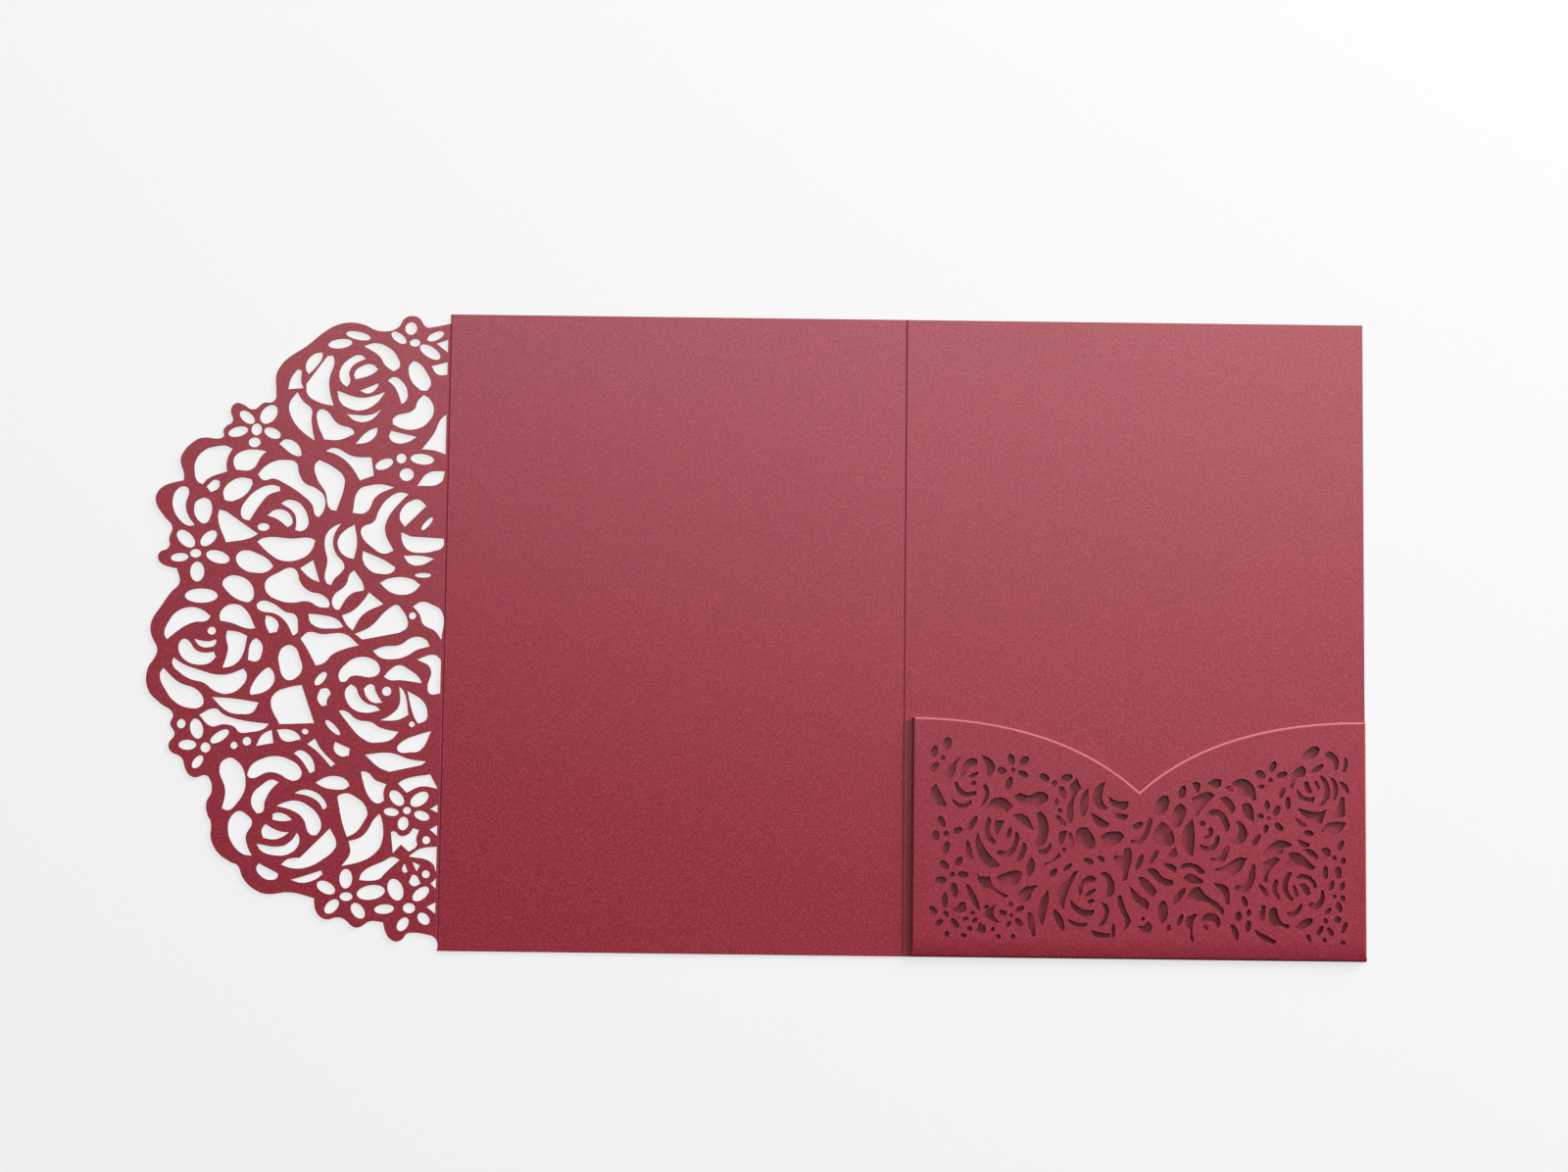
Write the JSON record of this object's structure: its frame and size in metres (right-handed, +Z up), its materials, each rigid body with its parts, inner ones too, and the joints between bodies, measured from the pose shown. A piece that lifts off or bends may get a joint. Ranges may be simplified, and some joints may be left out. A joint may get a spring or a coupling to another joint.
{
  "type": "laser-cut wedding invitation card",
  "caption": "Folded pearl-board invitation lying open: laser-cut rose lace flap, plain middle panel and a right panel whose foot is folded up into a laced pocket.",
  "frame": {"origin": "under the middle of the open card's outline, on the surface it lies on", "axes": "+X from the lace flap towards the pocket panel, +Y from the foot to the head, +Z up out of the inside face"},
  "size_m": [0.3434, 0.18, 0.0016],
  "materials": {
    "pearl_board": "pearl, fine shimmer, satin"
  },
  "bodies": {
    "root": {"card": "pearl_board"}
  },
  "joints": []
}
